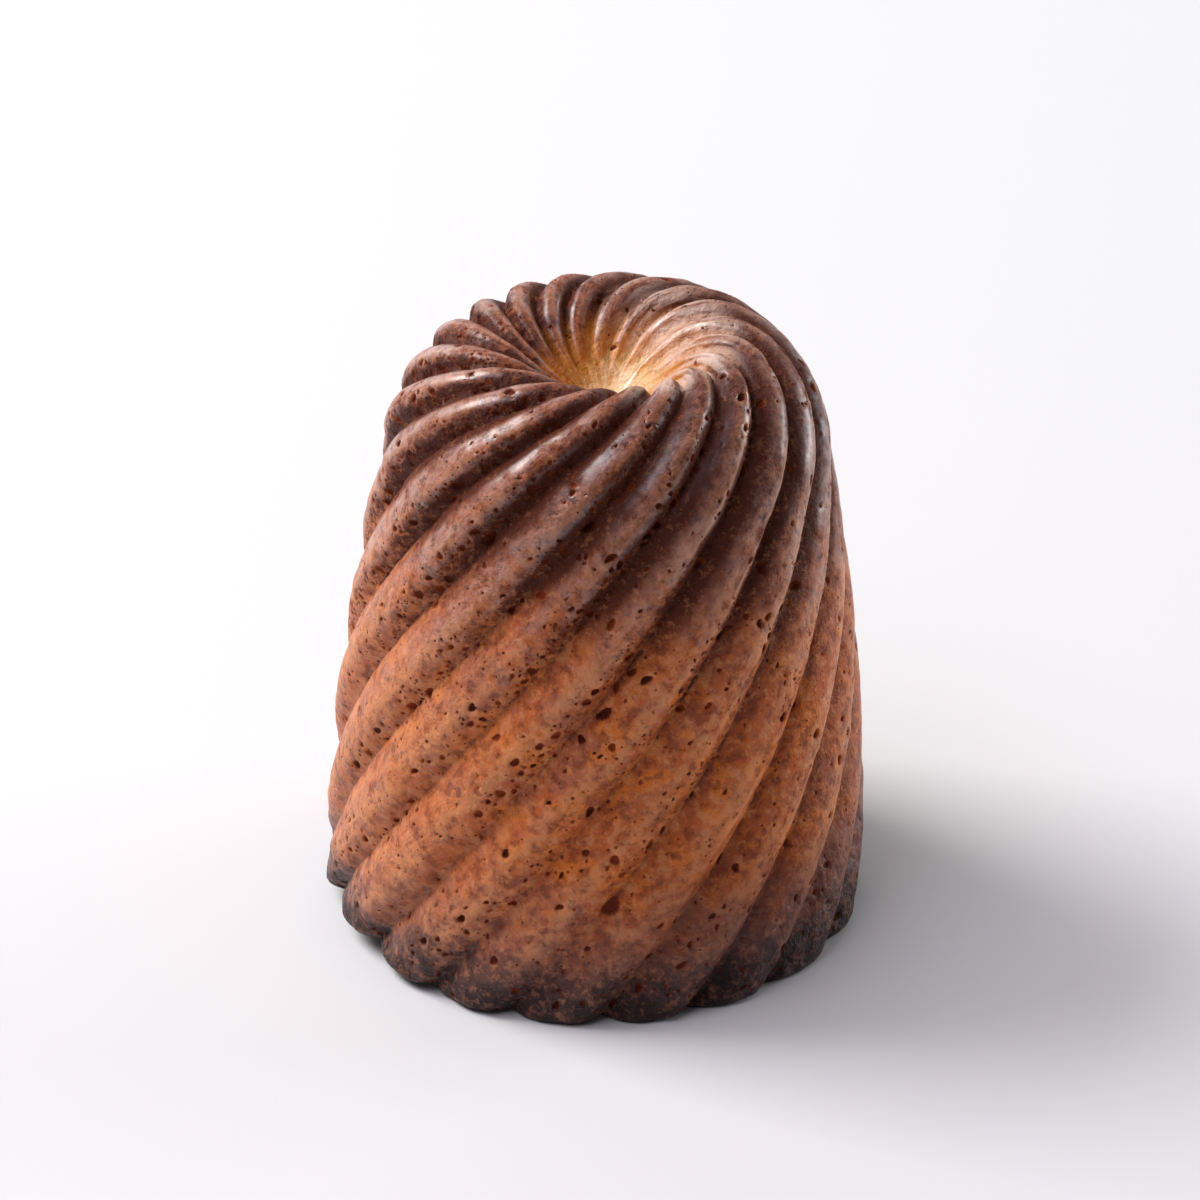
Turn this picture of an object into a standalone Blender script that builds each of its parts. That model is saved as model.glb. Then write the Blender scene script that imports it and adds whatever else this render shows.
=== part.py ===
# A canele: a small fluted cake, taller than it is wide, with twisted ridges and a dimple in its top.
# It is one closed solid that stands on its flat foot. Metres, +Z up, origin at the bottom centre.
import math

import bpy
import numpy as np

# Driving dimensions. Radii and heights are taken over the crests of the ridges.
footRadius = 0.02325
wallTopRadius = 0.01895
wallTopHeight = 0.0425
wallBulge = 0.00105         # how far the middle of the wall stands out from a straight cone
rimRadius = 0.0106          # the highest ring, round the dimple
rimHeight = 0.05345
shoulderFullness = 1.80     # 2 is a round shoulder, less is a more sloping one
dimpleDepth = 0.0064
rimRounding = 0.45          # the share of the way into the dimple over which it turns down
bottomRounding = 0.25       # and the share over which it turns level again
footRounding = 0.0009
restRadius = 0.0140         # the part of the base that is always flat
lean = 0.00140              # how far the top stands off the foot, towards +X

# The ridges and the creases between them.
fluteCount = 18
crestAngle = math.radians(2.6)        # where a crest meets the foot, round from +X
creasePlace = 0.39                    # how far along from a crest to the next the crease lies
ridgeFullness = 2.2                   # 1 is a ridge like a roof, more is a rounder ridge with sharp creases
# Height along the surface from the foot, and the tangent of a ridge's slant from the upright there.
slantStations = ((0.000, 0.75), (0.014, 0.77), (0.044, 0.78), (0.0485, 0.82), (0.052, 0.92), (0.0555, 0.84),
                 (0.058, 0.74), (0.061, 0.50), (0.064, 0.26), (0.067, 0.10), (0.070, 0.00))
# Height along the surface from the foot, and how deep a crease is there.
depthStations = ((0.000, 0.00150), (0.006, 0.00120), (0.028, 0.00120), (0.042, 0.00140), (0.050, 0.00135),
                 (0.057, 0.00115), (0.062, 0.00100), (0.066, 0.00065), (0.069, 0.00025), (0.0705, 0.00000))

# Unevenness of a thing that is baked in a mould and turned out by hand.
depthSpread = 0.13
depthRhythm = 1.9                     # how the depths and crests differ from each flute to the next, in radians
depthStart = 1.2
crestSpread = math.radians(0.8)
crestRhythm = 2.4
crestStart = 0.5
ovalDepth = 0.00008                   # how much flatter it is across Y than across X, twice over
liftAngle = math.radians(-165.0)      # the side where the foot stops short of the table
liftWidth = math.radians(30.0)
liftHeight = 0.0016
liftScallop = 0.4                     # how much further the creases stop short than the crests
liftReach = 0.0100                    # how high up the wall the lift is felt

# Mesh fineness.
samplesPerFlute = 8
creaseSample = 3                      # of those samples, the one that lies in the crease
dimpleSteps = 8
shoulderSteps = 9
wallSteps = 14
wallCrowding = 1.35                   # 1 spaces the wall's steps evenly, more closes them up towards the foot
twistSteps = 800
leastTwistRadius = 0.0005
weldDistance = 0.00001
sharpAngle = math.radians(50)


def dimpleSink(inward):
    # How far the dimple has sunk, from 0 at the rim to 1 in the middle: rounded, straight and rounded again.
    straight = 1 - rimRounding - bottomRounding
    left = min(1 - inward, bottomRounding)
    sunk = min(inward, rimRounding) ** 2 / rimRounding / 2
    sunk += min(max(inward - rimRounding, 0.0), straight)
    sunk += (bottomRounding - left ** 2 / bottomRounding) / 2
    return sunk / (straight + rimRounding / 2 + bottomRounding / 2)


def dimpleOutline():
    points = []
    for step in range(dimpleSteps, 0, -1):
        inward = step / dimpleSteps
        points.append((rimRadius * (1 - inward), rimHeight - dimpleDepth * dimpleSink(inward)))
    return points


def shoulderOutline():
    points = []
    power = 2 / shoulderFullness
    for step in range(shoulderSteps, 0, -1):
        angle = math.pi / 2 * step / shoulderSteps
        radius = rimRadius + (wallTopRadius - rimRadius) * max(math.cos(angle), 0.0) ** power
        height = wallTopHeight + (rimHeight - wallTopHeight) * math.sin(angle) ** power
        points.append((radius, height))
    return points


def wallOutline():
    points = []
    for step in range(wallSteps, -1, -1):
        climb = (step / wallSteps) ** wallCrowding
        height = wallTopHeight * climb
        radius = footRadius + (wallTopRadius - footRadius) * climb + wallBulge * 4 * climb * (1 - climb)
        below = max(footRounding - height, 0.0) / footRounding
        radius -= footRounding * (1 - math.sqrt(1 - below * below))
        points.append((radius, height))
    return points


def outlinePoints():
    # Half of the section, from the middle of the dimple over the rim and down to the middle of the base.
    return np.array(dimpleOutline() + shoulderOutline() + wallOutline() + [(restRadius, 0.0), (0.0, 0.0)])


def climbAlong(outline):
    # Each outline point's distance along the surface from the foot; the base counts as the foot.
    steps = np.hypot(*np.diff(outline, axis=0).T)
    walked = np.concatenate(([0.0], np.cumsum(steps)))
    return np.maximum(walked[-3] - walked, 0.0)


def outlineNormals(outline):
    # Pointing out of the solid. At the foot and below they are level, so that the base stays flat.
    along = np.gradient(outline, axis=0)
    normals = np.column_stack((-along[:, 1], along[:, 0]))
    normals /= np.linalg.norm(normals, axis=1)[:, None]
    foot = outline[:, 1] < footRounding
    normals[foot] = (1.0, 0.0)
    normals[0] = (0.0, 1.0)
    return normals


def twistAt(climb, outline):
    # How far round a ridge has turned at each height: its slant divided by the radius, added up.
    heights = np.linspace(0.0, climb[0], twistSteps)
    radius = np.interp(heights, climb[-3::-1], outline[-3::-1, 0])
    slant = np.interp(heights, *np.array(slantStations).T)
    turn = slant / np.maximum(radius, leastTwistRadius)
    turned = np.concatenate(([0.0], np.cumsum((turn[1:] + turn[:-1]) / 2 * np.diff(heights))))
    return np.interp(climb, heights, turned)


def flutePlace(sample):
    # Spreads a flute's samples so that one lies on the crest and one in the crease.
    knots = (0, creaseSample, samplesPerFlute)
    return np.interp(sample, knots, (0.0, creasePlace, 1.0))


def creaseAt(place):
    # 0 on a crest and 1 in a crease.
    near = np.where(place < creasePlace, place / creasePlace, (1 - place) / (1 - creasePlace))
    return near ** ridgeFullness


def crestShift(flute):
    # A crest's own small step to the side.
    return crestSpread * np.sin(flute % fluteCount * crestRhythm + crestStart)


def footLift(angle, height, creased):
    # Raises the foot where the batter didn't fill the mould, and fades out up the wall.
    off = (angle - liftAngle + math.pi) % (2 * math.pi) - math.pi
    side = np.exp(-(off / liftWidth) ** 2)
    return liftHeight * side * (1 + liftScallop * creased) * np.maximum(1 - height / liftReach, 0.0)


def turnedMesh(outline):
    # The plain turned shape, with the seam and both ends welded.
    mesh = bpy.data.meshes.new("outline")
    edges = [(index, index + 1) for index in range(len(outline) - 1)]
    mesh.from_pydata([(radius, 0.0, height) for radius, height in outline], edges, [])
    guide = bpy.data.objects.new("outline", mesh)
    bpy.context.scene.collection.objects.link(guide)
    screw = guide.modifiers.new("turn", "SCREW")
    screw.steps = screw.render_steps = fluteCount * samplesPerFlute
    screw.use_merge_vertices = True
    screw.merge_threshold = weldDistance
    depsgraph = bpy.context.evaluated_depsgraph_get()
    turned = bpy.data.meshes.new_from_object(guide.evaluated_get(depsgraph))
    bpy.data.objects.remove(guide)
    return turned


def fluted(mesh, outline):
    # Winds the turned shape's columns along the ridges and presses the creases in between them.
    places = np.empty(len(mesh.vertices) * 3)
    mesh.vertices.foreach_get("co", places)
    places = places.reshape(-1, 3)
    radius = np.hypot(places[:, 0], places[:, 1])
    near = np.abs(radius[:, None] - outline[None, :, 0]) + np.abs(places[:, 2, None] - outline[None, :, 1])
    row = near.argmin(axis=1)

    samples = fluteCount * samplesPerFlute
    column = np.rint(np.arctan2(places[:, 1], places[:, 0]) / (2 * math.pi) * samples).astype(int) % samples
    flute, sample = np.divmod(column, samplesPerFlute)
    place = flutePlace(sample)
    creased = creaseAt(place)

    climb = climbAlong(outline)
    angle = crestAngle + (flute + place) * 2 * math.pi / fluteCount
    # The shift belongs to the crest, so it blends into the next flute's own.
    angle += crestShift(flute) * (1 - place) + crestShift(flute + 1) * place
    angle += twistAt(climb, outline)[row]

    depth = np.interp(climb, *np.array(depthStations).T)
    depth[-2:] = 0.0
    drop = depth[row] * creased * (1 + depthSpread * np.sin(flute * depthRhythm + depthStart))
    drop += ovalDepth * (1 - np.cos(2 * angle)) * outline[row, 0] / footRadius * (row < len(outline) - 2)
    normals = outlineNormals(outline)[row]
    outlineRadius = outline[row, 0] - drop * normals[:, 0]
    height = outline[row, 1] - drop * normals[:, 1]

    outward = np.clip((outlineRadius - restRadius) / (footRadius - restRadius), 0, 1)
    height += footLift(angle, height, creased) * outward
    places[:, 0] = outlineRadius * np.cos(angle) + lean * height / rimHeight
    places[:, 1] = outlineRadius * np.sin(angle)
    places[:, 2] = height
    places[:, :2] -= (places[:, :2].max(axis=0) + places[:, :2].min(axis=0)) / 2
    mesh.vertices.foreach_set("co", places.ravel())
    mesh.update()


def crustMaterial():
    crust = bpy.data.materials.new("crust")
    crust.use_nodes = True
    shader = crust.node_tree.nodes["Principled BSDF"]
    shader.inputs["Base Color"].default_value = (0.262, 0.106, 0.062, 1.0)
    shader.inputs["Roughness"].default_value = 0.42
    shader.inputs["Metallic"].default_value = 0.0
    return crust


def buildCanele():
    outline = outlinePoints()
    mesh = turnedMesh(outline)
    fluted(mesh, outline)
    mesh.name = "canele"
    mesh.materials.clear()
    mesh.materials.append(crustMaterial())
    mesh.shade_smooth()
    mesh.set_sharp_from_angle(angle=sharpAngle)
    canele = bpy.data.objects.new("canele", mesh)
    collection = bpy.data.collections.new("canele")
    bpy.context.scene.collection.children.link(collection)
    collection.objects.link(canele)


for existing in list(bpy.data.objects):
    bpy.data.objects.remove(existing)
buildCanele()
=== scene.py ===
import math
from types import SimpleNamespace

import bpy
import numpy as np
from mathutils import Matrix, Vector
from mathutils.geometry import delaunay_2d_cdt


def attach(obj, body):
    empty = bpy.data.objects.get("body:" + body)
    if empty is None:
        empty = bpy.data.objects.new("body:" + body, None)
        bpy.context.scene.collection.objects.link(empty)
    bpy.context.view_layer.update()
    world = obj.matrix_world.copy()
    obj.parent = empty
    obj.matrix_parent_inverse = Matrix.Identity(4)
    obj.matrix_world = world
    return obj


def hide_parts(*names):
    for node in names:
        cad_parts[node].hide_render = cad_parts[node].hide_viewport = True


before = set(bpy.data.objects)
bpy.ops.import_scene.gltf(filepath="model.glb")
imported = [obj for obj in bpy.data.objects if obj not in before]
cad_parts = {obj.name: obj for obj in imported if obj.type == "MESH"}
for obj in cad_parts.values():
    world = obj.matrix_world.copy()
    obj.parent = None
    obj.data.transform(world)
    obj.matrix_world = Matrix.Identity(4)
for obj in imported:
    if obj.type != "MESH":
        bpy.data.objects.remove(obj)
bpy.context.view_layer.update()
millimetre = 0.001
fullTurn = 2 * math.pi

# The form. Radii and heights are over the crests of the ridges, in millimetres.
form = dict(
    footRadius=23.25, wallTopRadius=18.95, wallTopHeight=42.5, wallBulge=1.05,
    rimRadius=10.6, rimHeight=53.45, shoulderFullness=1.80, dimpleDepth=6.4,
    rimRounding=0.45, bottomRounding=0.25,   # as shares of the way into the dimple
    footRounding=0.9, restRadius=14.0, lean=1.40, ovalDepth=0.08,
    flutes=18, crestAngle=2.6, creasePlace=0.39, ridgeFullness=2.2, creaseEnd=69,
    # height along the surface: the slant of the ridges (a tangent), and the depth of the creases
    slants=((0, 0.75), (14, 0.77), (44, 0.78), (48.5, 0.82), (52, 0.92),
            (55.5, 0.84), (58, 0.74), (61, 0.50), (64, 0.26), (67, 0.10), (70, 0.0)),
    depths=((0, 1.50), (6, 1.20), (28, 1.20), (42, 1.40), (50, 1.35), (57, 1.15), (62, 1.00),
            (66, 0.65), (69, 0.25), (70.5, 0.0)),
    # how the flutes differ, with the rhythm in radians from each to the next
    depthSpread=0.13, depthRhythm=1.9, depthStart=1.2,
    crestSpread=0.8, crestRhythm=2.4, crestStart=0.5,
    liftAngle=-165, liftWidth=30, liftHeight=1.6, liftScallop=0.4, liftReach=10.0,
)
# How finely the half section is worked out: shares of the wall, radians, shares of the dimple, millimetres.
sectionSteps = dict(wall=0.001, wallCrowding=1.35, shoulder=0.002, dimple=0.002, base=0.02)
# How fine the mesh is, and the small unevenness of its surface.
skin = dict(
    columnsPerFlute=16, rowStep=0.47, footRowStep=0.25, footRowsEnd=1.5, poleRadius=0.5,
    baseRadii=(21.7, 21.2, 20.5, 19.6, 18.4, 17.0, 15.5, 14.0, 11.5, 8.5, 5.5, 3.0),
    baseStart=-0.6, basePitch=1.2,          # from there inwards the columns of the base are that far apart
    # how far a ridge strays sideways, over what length, and the radius inside which it strays less
    wander=0.16, wanderSize=6.0, wanderSeed=9, wanderRadius=3,
    relief=((0.060, 3.2), (0.070, 1.4), (0.045, 0.85)),   # depth and size of the lumps
    footRelief=0.22, footReliefSize=1.4, footReliefReach=6.0, footReliefSeed=7,
    unwoundRadius=18,                                     # of the upright tube that the streaks are laid on
)
# The pores, the wide ones first. Those too small for the mesh are in the finish, as pinholes.
pores = dict(
    seed=11, wide=1900, small=1100, wideRadius=(0.15, 0.46), smallRadius=(0.09, 0.15), mostlySmall=3.0,
    gap=1.06, reachShare=1.1, depth=(0.65, 1.15), deepest=0.45, stretch=0.7, triesEach=40, heightSteps=400,
    lowest=0.6, topMargin=2.2, footMargin=0.5, seamMargin=2.4,
    clearShare=1.12, clearGap=0.07, stripShare=1.15, stripGap=0.12,        # how far the grid keeps off them
    topStart=58, topShare=0.6,                # above this height they are smaller
    # those that stand out: angle round from +X, height along the surface, radius, depth, stretch, tone
    named=((-89.4, 29.5, 0.58, 0.62, 1.8, 0.05), (-103.6, 26.6, 0.36, 0.32, 1.1, 0.55),
           (-100.0, 27.7, 0.38, 0.28, 1.3, 0.65), (-108.9, 24.9, 0.42, 0.36, 1.3, 0.45),
           (-107.6, 23.9, 0.30, 0.30, 1.1, 0.45), (-114.1, 26.6, 0.36, 0.26, 1.5, 0.70),
           (-120.8, 27.3, 0.32, 0.28, 1.3, 0.40), (-86.9, 11.9, 0.85, 0.36, 1.1, 0.35),
           (-117.2, 19.5, 0.40, 0.30, 1.2, 0.60), (-122.6, 43.1, 0.50, 0.50, 1.4, 0.40),
           (-94.8, 45.8, 0.50, 0.55, 1.7, 0.10), (-79.4, 45.0, 0.42, 0.50, 1.4, 0.10),
           (-119.5, 9.4, 0.42, 0.45, 1.2, 0.20), (-51.9, 39.2, 0.36, 0.30, 1.5, 0.85),
           (-65.0, 29.5, 0.32, 0.28, 1.6, 0.80)),
    # by least radius: the points in a ring, and each ring's share of the radius, of the depth, and its mask
    rings=((0.32, 12, ((1.22, 0.0, 0.0), (1.0, 0.10, 0.45), (0.88, 0.55, 0.85), (0.62, 0.92, 1.0))),
           (0.20, 8, ((1.22, 0.0, 0.0), (0.97, 0.22, 0.6), (0.68, 0.85, 1.0))),
           (0.0, 6, ((1.3, 0.0, 0.0), (0.9, 0.45, 0.8)))),
    outerRing=1.22, outerRoundness=0.8, tiltSpread=0.9,
    waves=((2, 0.13, 9), (3, 0.09, 23)),      # round a ring's edge: how many, how high, and how they turn
)
# Where pores are wanted: shares, and heights and reaches in millimetres.
poreWishes = dict(
    anywhere=0.10, atFoot=0.20, footReach=5, inCrease=0.16, inUpperCrease=0.80,
    creaseMiddle=0.27, creaseReach=0.15, upperStart=16, upperReach=16, topEnd=67, topReach=10,
    clusters=(0.75, 0.9), clusterEnds=(0.2, 1.4), clusterWaves=((5.3, 0.31), (3.1, 0.83)),
)


def spaced(start, end, step):
    return np.linspace(start, end, max(int(math.ceil(abs(end - start) / step)), 1) + 1)


def halfSection():
    # The outline from the middle of the base, out to the foot, up the wall, over the rim and into the dimple.
    climb = spaced(0, 1, sectionSteps["wall"]) ** sectionSteps["wallCrowding"]
    height = form["wallTopHeight"] * climb
    bulge = form["wallBulge"] * 4 * climb * (1 - climb)
    radius = form["footRadius"] + (form["wallTopRadius"] - form["footRadius"]) * climb + bulge
    below = np.maximum(form["footRounding"] - height, 0) / form["footRounding"]
    radius -= form["footRounding"] * (1 - np.sqrt(1 - below ** 2))
    wall = np.column_stack((radius, height))

    turn = spaced(0, math.pi / 2, sectionSteps["shoulder"])[1:]
    power = 2 / form["shoulderFullness"]
    reach, rise = form["wallTopRadius"] - form["rimRadius"], form["rimHeight"] - form["wallTopHeight"]
    shoulder = np.column_stack((form["rimRadius"] + reach * np.maximum(np.cos(turn), 0) ** power,
                                form["wallTopHeight"] + rise * np.sin(turn) ** power))
    inward = spaced(0, 1, sectionSteps["dimple"])[1:]
    steep = np.minimum(inward / form["rimRounding"], 1) * np.minimum((1 - inward) / form["bottomRounding"], 1)
    sink = form["dimpleDepth"] * np.cumsum(steep) / steep.sum()
    dimple = np.column_stack((form["rimRadius"] * (1 - inward), form["rimHeight"] - sink))
    across = spaced(0, wall[0, 0], sectionSteps["base"])[:-1]
    base = np.column_stack((across, np.zeros(len(across))))
    return np.vstack((base, wall, shoulder, dimple)), len(base)


section, footRow = halfSection()
walked = np.concatenate(([0], np.cumsum(np.hypot(*np.diff(section, axis=0).T))))
climbs = walked - walked[footRow]        # distance along the surface from the foot, less than 0 on the base
sectionNormals = np.gradient(section, axis=0)[:, ::-1] * (1, -1)
sectionNormals /= np.linalg.norm(sectionNormals, axis=1)[:, None]
# The same walk measured in radii. With the angle it makes a flat chart of the surface that keeps every shape.
middleRadii = (section[1:, 0] + section[:-1, 0]) / 2
inRadii = np.concatenate(([0], np.cumsum(np.diff(walked) / np.maximum(middleRadii, skin["poleRadius"] / 2))))
inRadii -= inRadii[footRow]
slant = np.interp(climbs, *np.array(form["slants"]).T) * (climbs > 0)
turnSteps = slant / np.maximum(section[:, 0], skin["poleRadius"])
twists = np.concatenate(([0], np.cumsum((turnSteps[1:] + turnSteps[:-1]) / 2 * np.diff(climbs))))

# The flutes' numbers run on past a full turn, so that the chart can be read on both sides of the seam.
spareFlutes = 40
fluteNumbers = np.arange(-spareFlutes, form["flutes"] + spareFlutes + 1)
fluteAngles = math.radians(form["crestAngle"]) + fluteNumbers * fullTurn / form["flutes"]
fluteAngles += math.radians(form["crestSpread"]) * np.sin(
    fluteNumbers % form["flutes"] * form["crestRhythm"] + form["crestStart"])


def radiusAt(climb):
    return np.interp(climb, climbs, section[:, 0])


def fluteAt(angle, climb):
    # Which flute a place is on, with how far it is from that crest to the next as the fraction.
    return np.interp(angle - np.interp(climb, climbs, twists), fluteAngles, fluteNumbers)


def angleAt(flute, climb):
    return np.interp(flute, fluteNumbers, fluteAngles) + np.interp(climb, climbs, twists)


def creaseAt(place):
    # 0 on a crest and 1 in a crease.
    near = np.where(place < form["creasePlace"], place / form["creasePlace"],
                    (1 - place) / (1 - form["creasePlace"]))
    return near ** form["ridgeFullness"]


# Whole numbers that scramble a cell's place into a number without a pattern, and the step between seeds.
scramble = dict(x=73856093, y=19349663, z=83492791, seed=2971215073, last=1274126177, seedStep=17.31)


def lumps(places, size, seed):
    # Smooth noise of about that size, from -1 to 1: a scrambled number for each corner of a cell, blended.
    cells = places / size + seed * scramble["seedStep"]
    corner = np.floor(cells).astype(np.int64)
    part = cells - corner
    part = part * part * (3 - 2 * part)
    total = np.zeros(len(places))
    for step in np.ndindex(2, 2, 2):
        share = np.prod(np.where(step, part, 1 - part), axis=1)
        at = corner + step
        mixed = at[:, 0] * scramble["x"] ^ at[:, 1] * scramble["y"] ^ at[:, 2] * scramble["z"]
        mixed = mixed ^ seed * scramble["seed"]
        mixed = (mixed ^ mixed >> 13) * scramble["last"] & 0x7FFFFFFF
        total += share * ((mixed >> 7) % 4096 / 2047.5 - 1)
    return total


def lumpDepth(plain, climb):
    # How far the lumpy skin lies under the plain form.
    uneven = sum(deep * (1 + lumps(plain, size, index)) for index, (deep, size) in enumerate(skin["relief"]))
    ragged = skin["footRelief"] * np.exp(-np.maximum(climb, 0) / skin["footReliefReach"])
    return uneven + ragged * (1 + lumps(plain, skin["footReliefSize"], skin["footReliefSeed"]))


def creaseDrop(angle, climb, flute):
    # How far the creases and the oval lie under the turned form.
    depth = np.interp(climb, *np.array(form["depths"]).T)
    rhythm = np.floor(flute) % form["flutes"] * form["depthRhythm"] + form["depthStart"]
    drop = depth * (1 + form["depthSpread"] * np.sin(rhythm)) * creaseAt(flute % 1)
    return drop + form["ovalDepth"] * (1 - np.cos(2 * angle)) * (radiusAt(climb) / form["footRadius"])


def footLift(angle, height, creased):
    # How far the foot stops short of the table on one side. It fades out up the wall.
    off = (angle - math.radians(form["liftAngle"]) + math.pi) % fullTurn - math.pi
    lift = form["liftHeight"] * np.exp(-(off / math.radians(form["liftWidth"])) ** 2)
    return lift * (1 + form["liftScallop"] * creased) * np.maximum(1 - height / form["liftReach"], 0)


def surface(angle, climb, sunk):
    # Where each point of the chart lies, in millimetres, and the masks that the crust's colours need.
    flute = fluteAt(angle, climb)
    place = flute % 1
    creased = creaseAt(place)
    radius = radiusAt(climb)
    height = np.interp(climb, climbs, section[:, 1])
    onBase = np.clip((radius - form["restRadius"]) / (section[footRow, 0] - form["restRadius"]), 0, 1)
    onBase = np.where(climb < 0, onBase, 1.0)
    normal = np.column_stack([np.interp(climb, climbs, sectionNormals[:, side]) for side in (0, 1)])
    pushed = np.where((height < form["footRounding"])[:, None], (1.0, 0.0), normal)

    plain = np.column_stack((radius * np.cos(angle), radius * np.sin(angle), height))
    drop = (creaseDrop(angle, climb, flute) + lumpDepth(plain, climb)) * onBase
    stray = skin["wander"] * lumps(plain, skin["wanderSize"], skin["wanderSeed"]) * onBase
    angle = angle + stray / np.maximum(radius, skin["wanderRadius"])
    outlineRadius = radius - drop * pushed[:, 0]
    height = height - drop * pushed[:, 1]
    reach = (outlineRadius - form["restRadius"]) / (form["footRadius"] - form["restRadius"])
    height = height + footLift(angle, height, creased) * np.clip(reach, 0, 1)

    outlineRadius = outlineRadius - sunk * normal[:, 0]
    height = np.maximum(height - sunk * normal[:, 1], 0)
    places = np.column_stack((outlineRadius * np.cos(angle) + form["lean"] * height / form["rimHeight"],
                              outlineRadius * np.sin(angle), height))
    turned, around = flute / form["flutes"] * fullTurn, skin["unwoundRadius"]
    unwound = np.column_stack((around * np.cos(turned), around * np.sin(turned), climb))
    return places, dict(crease=creased * (climb < form["creaseEnd"]), flank=np.sin(fullTurn * place),
                        climb=climb, unwound=unwound)


def flutePlaces(count):
    # Where a row's columns stand on a flute, spread so that one lies on the crest and one in the crease.
    if count <= 2:
        return np.arange(count) / count
    knots = (0, round(count * form["creasePlace"]), count)
    return np.interp(np.arange(count), knots, (0, form["creasePlace"], 1))


def gridPoints():
    # The even grid, whose columns follow the ridges. Rows near the middle of either end have fewer columns.
    rim = climbs[-1]
    wallRows = spaced(0, skin["footRowsEnd"], skin["footRowStep"])
    upperRows = spaced(skin["footRowsEnd"], rim, skin["rowStep"])[1:]
    baseRows = np.array(skin["baseRadii"]) - section[footRow, 0]
    rows = np.sort(np.concatenate((wallRows, upperRows, baseRows)))
    seam, inner = [], []
    for climb in rows[rows < rim - skin["poleRadius"]]:
        wide = skin["rowStep"] if climb > skin["baseStart"] else skin["basePitch"]
        pitch = fullTurn * radiusAt(climb) / form["flutes"] / wide
        count = min(skin["columnsPerFlute"], 2 ** max(round(math.log2(max(pitch, 1))), 0))
        flutes = (np.arange(form["flutes"])[:, None] + flutePlaces(count)).ravel()
        seam.append((angleAt(0, climb), climb))
        inner.append(np.column_stack((angleAt(flutes[1:], climb), np.full(len(flutes) - 1, climb))))
    return np.array(seam), np.vstack(inner)


def poreWish(flute, climb, angle):
    # How much a pore of the crust is wanted at a place: most in the creases and on the steep flanks.
    want = poreWishes
    inCrease = np.exp(-((flute % 1 - want["creaseMiddle"]) / want["creaseReach"]) ** 2)
    upper = np.clip((climb - want["upperStart"]) / want["upperReach"], 0, 1)
    foot = np.exp(-np.maximum(climb, 0) / want["footReach"])
    (turnWave, climbWave), (turnBack, climbOn) = want["clusterWaves"]
    waves = math.sin(angle * turnWave + climb * climbWave) * math.sin(climb * climbOn - angle * turnBack)
    cluster = np.clip(want["clusters"][0] + want["clusters"][1] * waves, *want["clusterEnds"])
    deepIn = inCrease * (want["inCrease"] + want["inUpperCrease"] * upper)
    wish = want["anywhere"] + want["atFoot"] * foot + deepIn
    return wish * cluster * np.clip((want["topEnd"] - climb) / want["topReach"], 0, 1)


def poreFits(angle, climb, radius, found):
    # Whether a new pore is clear of the foot, of the chart's seam and of the other pores.
    if climb < radius + pores["footMargin"]:
        return False
    fromSeam = min(fluteAt(angle, climb), form["flutes"] - fluteAt(angle, climb)) * fullTurn / form["flutes"]
    if fromSeam < radius * pores["seamMargin"] / radiusAt(climb):
        return False
    others = np.array(found)
    turn = (others[:, 0] - angle + math.pi) % fullTurn - math.pi
    apart = np.hypot(turn * radiusAt(climb), others[:, 1] - climb)
    reach = others[:, 2] * others[:, 4] ** 0.5 + radius * pores["reachShare"]
    return not (apart < reach * pores["gap"]).any()


def scatterPores():
    # Each pore's angle, height along the surface, radius, depth, stretch, tone, and a number for its shape.
    rng = np.random.default_rng(pores["seed"])
    found = [[math.radians(angle), *rest, 1.0] for angle, *rest in pores["named"]]
    heights = np.linspace(pores["lowest"], climbs[-1] - pores["topMargin"], pores["heightSteps"])
    shares = np.cumsum(radiusAt(heights)) / radiusAt(heights).sum()
    shallow, deepSpread = pores["depth"][0], pores["depth"][1] - pores["depth"][0]
    for kind in ("wide", "small"):
        count, (least, most) = pores[kind], pores[kind + "Radius"]
        tries, placed = 0, 0
        while placed < count and tries < count * pores["triesEach"]:
            tries += 1
            climb = np.interp(rng.random(), shares, heights)
            angle = rng.random() * fullTurn + angleAt(0, climb)
            pick, sizePick, turned, tone, deep, long = rng.random(6)
            if pick > poreWish(fluteAt(angle, climb), climb, angle):
                continue
            radius = least + (most - least) * sizePick ** pores["mostlySmall"]
            if kind == "wide" and climb > pores["topStart"]:
                radius *= pores["topShare"]
            if poreFits(angle, climb, radius, found):
                depth = min(radius * (shallow + deepSpread * deep), pores["deepest"])
                found.append([angle, climb, radius, depth, 1 + pores["stretch"] * long, tone, turned])
                placed += 1
        print(kind, "pores placed:", placed, "of", count, "after", tries, "tries")
    return np.array(found)


def poreTilt(climb, turned):
    # A pore is drawn out along the ridge, give or take a little.
    return math.atan(np.interp(climb, climbs, slant)) + (turned - 0.5) * pores["tiltSpread"]


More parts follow.
